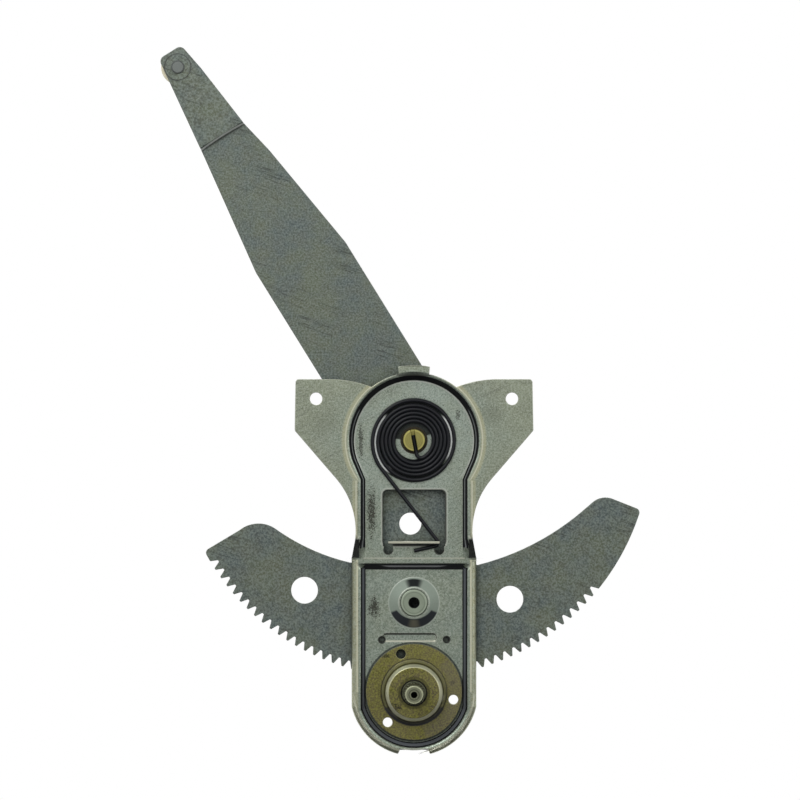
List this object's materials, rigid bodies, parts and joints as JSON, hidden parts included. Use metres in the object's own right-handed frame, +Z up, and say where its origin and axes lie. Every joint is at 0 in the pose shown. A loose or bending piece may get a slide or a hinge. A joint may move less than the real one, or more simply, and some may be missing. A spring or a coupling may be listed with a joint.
{
  "type": "window regulator",
  "caption": "Manual car window regulator: crank pinion with a wrap-spring brake drives a toothed sector and lift arm with a roller, balanced by a flat coil spring.",
  "frame": {"origin": "crank axis at the front face of the brake cover's flange, which the door's inner panel clamps against", "axes": "+Z up with the window, -Y towards the crank handle, +X to the right seen from the crank side"},
  "size_m": [0.3115, 0.0495, 0.4594],
  "materials": {
    "housing_steel": "zinc-plated stamped steel, satin",
    "cover_steel": "yellow-dichromate zinc plate",
    "nut_steel": "zinc plate",
    "bearing_bronze": "oil-filled sintered bronze",
    "spring_steel": "black oiled spring wire",
    "shaft_steel": "machined steel",
    "plate_steel": "grey phosphated steel",
    "rivet_steel": "steel",
    "pin_steel": "yellow zinc plate",
    "roller_nylon": "natural nylon"
  },
  "bodies": {
    "housing": {"housing": "housing_steel", "brake_cover": "cover_steel", "boss_nut": "nut_steel", "sleeve_bushing": "bearing_bronze", "rear_bushing": "bearing_bronze", "pivot_bushing": "bearing_bronze", "counterbalance_spring": "spring_steel"},
    "crank": {"crank_shaft": "shaft_steel", "drive_plate": "shaft_steel", "brake_spring": "spring_steel", "driven_plate": "shaft_steel", "pinion": "shaft_steel", "retaining_ring": "spring_steel"},
    "sector": {"sector_gear": "plate_steel", "lift_arm": "plate_steel", "arm_rivets": "rivet_steel", "pivot_pin": "pin_steel", "pin_washer": "rivet_steel", "roller_stud": "rivet_steel", "roller_washer": "rivet_steel"},
    "roller": {"roller": "roller_nylon"}
  },
  "joints": [
    {"name": "sector_swing", "type": "hinge", "parent": "housing", "child": "sector", "pos_m": [0, 0, 0.16367], "axis": [0, -1, 0], "range_deg": [-48, 56], "deforming": ["counterbalance_spring"]},
    {"name": "pinion_spin", "type": "hinge", "parent": "housing", "child": "crank", "pos_m": [0, 0, 0], "axis": [0, -1, 0], "range_deg": [-750, 645]},
    {"name": "roller_spin", "type": "hinge", "parent": "sector", "child": "roller", "pos_m": [-0.15348, 0, 0.40608], "axis": [0, -1, 0], "continuous": true}
  ],
  "couplings": [
    {"joint": "pinion_spin", "follows": "sector_swing", "ratio": -13.273}
  ]
}
